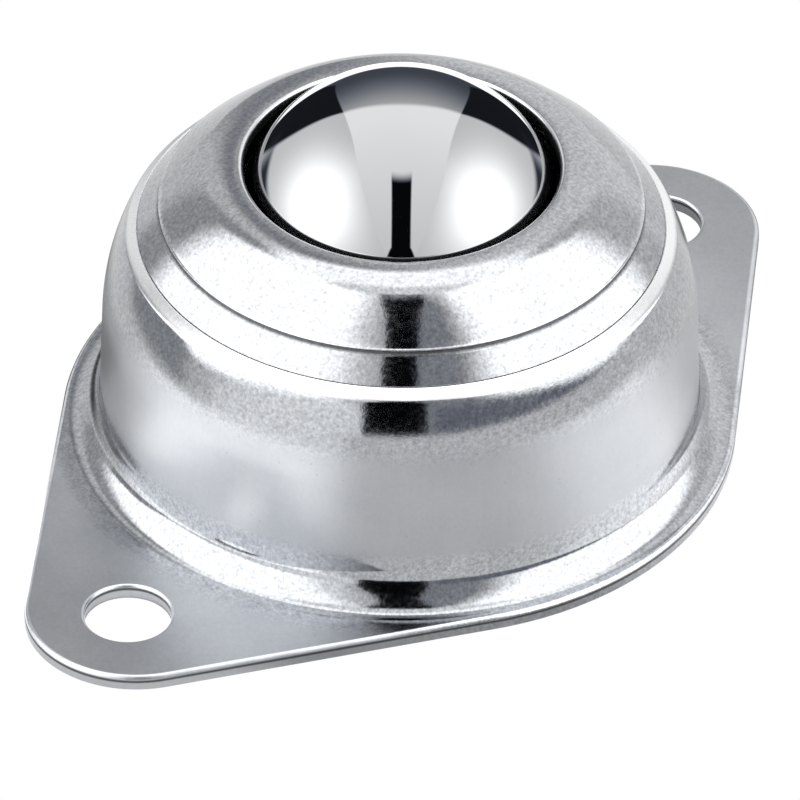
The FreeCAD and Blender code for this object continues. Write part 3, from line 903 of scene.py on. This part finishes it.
# ------------------------------------------------------------------ floor
# A white floor round the unit, open where the unit covers it. It is plain white to the camera; in the metal's
# reflections its glow carries painted pools of light and a painted shadow behind the flange.
hole_in = out_loop.copy()
hole_in[:, 0] -= 1.5 * hole_in[:, 2]
hole_in[:, 1] -= 1.5 * hole_in[:, 3]
n_f = len(hole_in)
rings_f = []
for s in (0.0, 0.07, 0.19, 0.40, 0.60, 0.75, 0.88, 1.0):
    a = np.arctan2(hole_in[:, 1], hole_in[:, 0])
    far = np.stack([60 * np.cos(a), 60 * np.sin(a)], 1)
    rings_f.append(hole_in[:, :2] * (1 - s) + far * s)
fb = Body()
fp = np.array([np.concatenate([r, np.zeros((n_f, 1))], 1) for r in rings_f])
# the floor is shaded close behind the flange
turned = np.degrees(np.arctan2(hole_in[:, 2] * math.cos(PHI) - hole_in[:, 3] * math.sin(PHI),
                               -(hole_in[:, 2] * math.sin(PHI) + hole_in[:, 3] * math.cos(PHI))))
shade = np.clip((np.abs(turned) - 82.0) / 22.0, 0.0, 1.0)
contact = np.zeros((*fp.shape[:2], 3))
contact[:, :, 0] = np.array([1, 1, 1, 0.35, 0, 0, 0, 0])[:, None] * shade[None, :]
fb.grid(fp, np.broadcast_to(np.array([0, 0, 1.0]), fp.shape), contact, closed=True)
for sx in (-1, 1):
    # and shows through the bolt holes
    a = np.radians(np.arange(0, 360, 10.0))
    disc = np.concatenate([[[sx * FL_PITCH / 2, 0, 0]],
                           np.stack([sx * FL_PITCH / 2 + 3.2 * np.cos(a), 3.2 * np.sin(a), 0 * a], 1)])
    fb.tris(disc, np.tile([0, 0, 1.0], (37, 1)), np.zeros((37, 3)),
            [[0, 1 + i, 1 + (i + 1) % 36] for i in range(36)])
floor = fb.build("floor")

fm = bpy.data.materials.new("floor_white")
fm.use_nodes = True
k = Nodes(fm.node_tree)
fo = k.new("ShaderNodeOutputMaterial")
em = k.new("ShaderNodeEmission")
mp = k.new("ShaderNodeMapping")
k.put(mp.inputs["Vector"], k.new("ShaderNodeTexCoord").outputs["Object"])
mp.inputs["Rotation"].default_value = (0, 0, PHI)
sep = k.new("ShaderNodeSeparateXYZ")
k.put(sep.inputs[0], mp.outputs[0])
fx, fy = k.val(sep.outputs[0]), k.val(sep.outputs[1])
faz = k.m("ARCTAN2", fx, fy * -1.0) * (180 / math.pi)
frad = k.m("SQRT", fx * fx + fy * fy)
# painted light: to reflections the floor glows brighter in a sector on each side of the camera's direction, and a
# painted shadow dims it behind the flange, less so on the open left front
lift = (0.84 + 1.20 * k.ramp(faz, -10.0, -28.0) * k.ramp(faz, -102.0, -66.0)
        + 0.72 * k.ramp(faz, 27.0, 62.0) * k.ramp(faz, 104.0, 76.0))
at = k.new("ShaderNodeAttribute", attribute_name="wear_glint_shadow_mask")
open_side = k.ramp(faz, -84.0, -70.0) * k.ramp(faz, 0.0, -20.0)
lift = lift * (1.0 - 0.9 * k.val(at.outputs["Fac"]) * (1.0 - open_side))
seen = k.val(k.new("ShaderNodeLightPath").outputs["Is Camera Ray"])
lift = k.mix(seen, lift, 1.0)
k.put(em.inputs["Strength"], lift)
em.inputs["Color"].default_value = (1.0, 1.0, 1.0, 1)
tr = k.new("ShaderNodeBsdfTransparent")
geo = k.new("ShaderNodeNewGeometry")
mx = k.new("ShaderNodeMixShader")
k.put(mx.inputs[0], geo.outputs["Backfacing"])
k.put(mx.inputs[1], em.outputs[0])
k.put(mx.inputs[2], tr.outputs[0])
k.put(fo.inputs["Surface"], mx.outputs[0])
wear(floor, fm)

# ------------------------------------------------------------------ studio light
# Two light tents round the unit, one lighting the polished ball, one lighting the
# plated parts: soft panels at the camera's side with a slot between them, a soft
# panel overhead and a sweep behind. Neither is seen by the camera.
DEG = 180 / math.pi


def tent(name, radius, members):
    ob = quad_sphere(name, radius, 0.0, n=32)
    ob.visible_camera = False
    ob.visible_shadow = False
    coll = bpy.data.collections.new(name + "_members")
    for x_ in members:
        coll.objects.link(x_)
    ob.light_linking.receiver_collection = coll
    mat = bpy.data.materials.new(name)
    mat.use_nodes = True
    mat.cycles.emission_sampling = "NONE"
    kn = Nodes(mat.node_tree)
    out = kn.new("ShaderNodeOutputMaterial")
    emit = kn.new("ShaderNodeEmission")
    clear = kn.new("ShaderNodeBsdfTransparent")
    both = kn.new("ShaderNodeAddShader")
    kn.put(both.inputs[0], emit.outputs[0])
    kn.put(both.inputs[1], clear.outputs[0])
    kn.put(out.inputs["Surface"], both.outputs[0])
    unit = kn.new("ShaderNodeVectorMath", operation="NORMALIZE")
    kn.put(unit.inputs[0], kn.new("ShaderNodeTexCoord").outputs["Object"])
    mapping = kn.new("ShaderNodeMapping")
    kn.put(mapping.inputs["Vector"], unit.outputs[0])
    mapping.inputs["Rotation"].default_value = (0, 0, PHI)
    parts = kn.new("ShaderNodeSeparateXYZ")
    kn.put(parts.inputs[0], mapping.outputs[0])
    wear(ob, mat)
    return kn, emit, [kn.val(parts.outputs[i]) for i in range(3)]


def emit_light(kn, emit, L, floor_tone=(0.80, 0.90, 1.15, 1)):
    # panels neutral, the dark parts a little blue
    tint = kn.mixc(kn.ramp(L, 0.0, 0.6), floor_tone, (1.0, 1.0, 1.0, 1))
    kn.put(emit.inputs["Color"], tint)
    kn.put(emit.inputs["Strength"], L)


# -- the ball's tent
k, em, (x, y, z) = tent("tent_ball", 2200.0, [ball])
ax = x.abs()
el = k.m("ARCSINE", k.m("MINIMUM", k.m("MAXIMUM", z, -1.0), 1.0)) * DEG
A = k.m("ARCTAN2", ax, y * -1.0) * DEG          # 0 towards the camera, 180 behind
behind = 180.0 - A
eb = k.m("ARCTAN2", z, y) * DEG                 # 0 at the back, 90 overhead, 180 in front
yb = k.m("MAXIMUM", y, 0.0)
zp = k.m("MAXIMUM", z, 0.0)
strip_edge = 0.531 * zp + 0.29 * yb * yb
d_edge = ax - strip_edge
# side panels
hot = k.m("EXPONENT", ((A - 75.0) / 34.0) ** 2.0 * -1.0 + ((el - 28.0) / 26.0) ** 2.0 * -1.0)
L = 0.85 + 1.9 * hot
# dark flags beside the sweep
limit = 43.5 - 10.0 * ((el - 10.0) / 26.0) ** 2.0
m_flag = k.ramp(behind - limit, -1.6, 1.6, 1.0, 0.0) * k.ramp(el, -28.0, -24.0) * k.ramp(el, 36.0, 39.0, 1.0, 0.0)
L = k.mix(m_flag, L, 0.016)
# overhead panel and the sweep behind
above = k.ramp(eb, 60.0, 175.0, 1.33, 0.9, "LINEAR")
sweep = 0.09 + 0.57 * k.ramp(eb, 0.0, 47.0, 0.0, 1.0, "LINEAR") ** 2.0
cut = 48.0 - 7.0 * (ax / 0.447) ** 2.0
strip = k.mix(k.ramp(eb - cut, -2.5, 2.5), sweep, above)
L = k.mix(k.ramp(d_edge, -0.008, 0.008, 1.0, 0.0), L, strip)
# slot between the front panels
gw = 0.114 + 0.15 * k.m("POWER", k.ramp(el, -3.0, 24.0, 1.0, 0.0, "LINEAR"), 0.8)
m_slot = k.ramp(ax - gw, -0.012, 0.012, 1.0, 0.0) * k.ramp(y, -0.02, 0.02, 1.0, 0.0) * k.ramp(el, 68.0, 77.0, 1.0, 0.0)
L = k.mix(m_slot, L, 0.004)
# dark below the panels
low = k.ramp(A, 20.0, 110.0, 12.0, -2.0)
m_low = k.ramp(el - low, -2.0, 3.0, 1.0, 0.0) * k.ramp(A, 130.0, 150.0, 1.0, 0.0)
L = k.mix(m_low, L, 0.05)
# from below: an even soft light with a darker border, for the underside
far = k.ramp(A, 95.0, 125.0, 1.0, 1.7)
edge_el = el + k.ramp(A, 118.0, 134.0) * (2.0 + 10.0 * k.ramp(A, 158.0, 167.0, 1.0, 0.0))
L = k.mix(k.ramp(edge_el, -7.0, -4.5, 1.0, 0.0), L, far)
below = k.ramp(z, -0.95, -0.45, 1.05, 0.25) * k.ramp(x, -0.5, 0.6, 0.7, 1.15)
L = k.mix(k.ramp(z, -0.60, -0.52, 1.0, 0.0), L, below)
emit_light(k, em, L)

# -- the plated parts' tent
plated = [housing, cap, race, plate] + [o for n_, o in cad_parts.items()
                                        if n_.startswith("support_ball")]
k, em, (x, y, z) = tent("tent_plated", 2000.0, plated)
ax = x.abs()
el = k.m("ARCSINE", k.m("MINIMUM", k.m("MAXIMUM", z, -1.0), 1.0)) * DEG
az = k.m("ARCTAN2", x, y * -1.0) * DEG          # 0 towards the camera, + to its right
A = az.abs()
left_p = k.ramp(A, 11.0, 40.0, 0.82, 2.3)
right_p = 0.38 + 1.95 * k.ramp(A, 26.0, 50.0)
side = k.ramp(az, -1.0, 1.0)
L = k.mix(side, left_p, right_p)
# towards the back the sides fall off to a mid grey
rear = k.mix(side, 0.82 - 0.33 * k.ramp(A, 113.0, 122.0) * k.ramp(A, 132.0, 142.0, 1.0, 0.0),
             1.02 - 0.25 * k.ramp(A, 113.0, 122.0) * k.ramp(A, 132.0, 142.0, 1.0, 0.0))
rear = k.mix(k.ramp(A, 150.0, 168.0), rear, k.ramp(x, -0.10, 0.10, 0.40, 0.98))
L = k.mix(k.ramp(A, 108.0, 124.0) * k.ramp(el, 52.0, 66.0, 1.0, 0.0), L, rear)
# overhead
top = k.mix(k.ramp(y, -0.10, 0.05), 1.25, 2.0)
L = k.mix(k.ramp(el, 66.0, 74.0) * k.ramp(y, 0.1, 0.0) + k.ramp(el, 57.0, 68.0) * k.ramp(y, 0.0, 0.1), L, top)
# slot between the front panels
gw = 0.099 + 0.106 * k.ramp(el, 8.0, 50.0, 1.0, 0.0) + 0.022 * k.ramp(el, 60.0, 70.0)
xo = x + 0.030 * k.ramp(el, 5.0, 42.0, 1.0, 0.0) - 0.014 * k.ramp(el, 42.0, 54.0)
m_slot = k.ramp(xo.abs() - gw, -0.010, 0.010, 1.0, 0.0) * k.ramp(y, -0.02, 0.02, 1.0, 0.0) * k.ramp(el, 69.0, 76.0, 1.0, 0.0)
L = k.mix(m_slot, L, 0.003)
# dark line just above the floor
low = k.ramp(A, 28.0, 92.0, 9.5, -3.0)
dim = k.mix(side, k.ramp(A, 56.0, 84.0, 1.25, 0.42), 0.25)
low = low + 9.0 * k.ramp(A, 80.0, 100.0) * (1.0 - side)
L = k.mix(k.ramp(el - low, -2.0, 2.0, 1.0, 0.0) * k.ramp(A, 12.0, 15.0) * k.ramp(A, 112.0, 128.0, 1.0, 0.0), L, dim)
far = (0.84 + 0.40 * k.ramp(az, -12.0, -26.0) * k.ramp(az, -78.0, -62.0)
       - 0.42 * k.ramp(az, -78.0, -90.0) * k.ramp(az, -132.0, -118.0))
far_low = (0.84 + 0.85 * k.ramp(az, -12.0, -30.0) * k.ramp(az, -102.0, -66.0)
           + 0.80 * k.ramp(az, 32.0, 66.0) * k.ramp(az, 112.0, 84.0))
far = k.mix(k.ramp(el, -13.0, -20.0), far, far_low)
L = k.mix(k.ramp(el, -5.0, -2.0, 1.0, 0.0), L, far)
below = k.ramp(z, -0.95, -0.45, 1.15, 0.35) * k.ramp(x, -0.5, 0.6, 0.7, 1.15)
L = k.mix(k.ramp(z, -0.60, -0.52, 1.0, 0.0), L, below)
emit_light(k, em, L)

world = bpy.data.worlds.new("studio")
bpy.context.scene.world = world
world.use_nodes = True
k = Nodes(world.node_tree)
wo = k.new("ShaderNodeOutputWorld")
lp = k.new("ShaderNodeLightPath")
seen = k.new("ShaderNodeBackground")
seen.inputs["Color"].default_value = (1, 1, 1, 1)
k.put(seen.inputs["Strength"], k.val(lp.outputs["Is Camera Ray"]))
k.put(wo.inputs["Surface"], seen.outputs[0])

view = bpy.context.scene.view_settings
view.view_transform = "Standard"
view.look = "None"
view.exposure = 0.0
view.gamma = 1.0
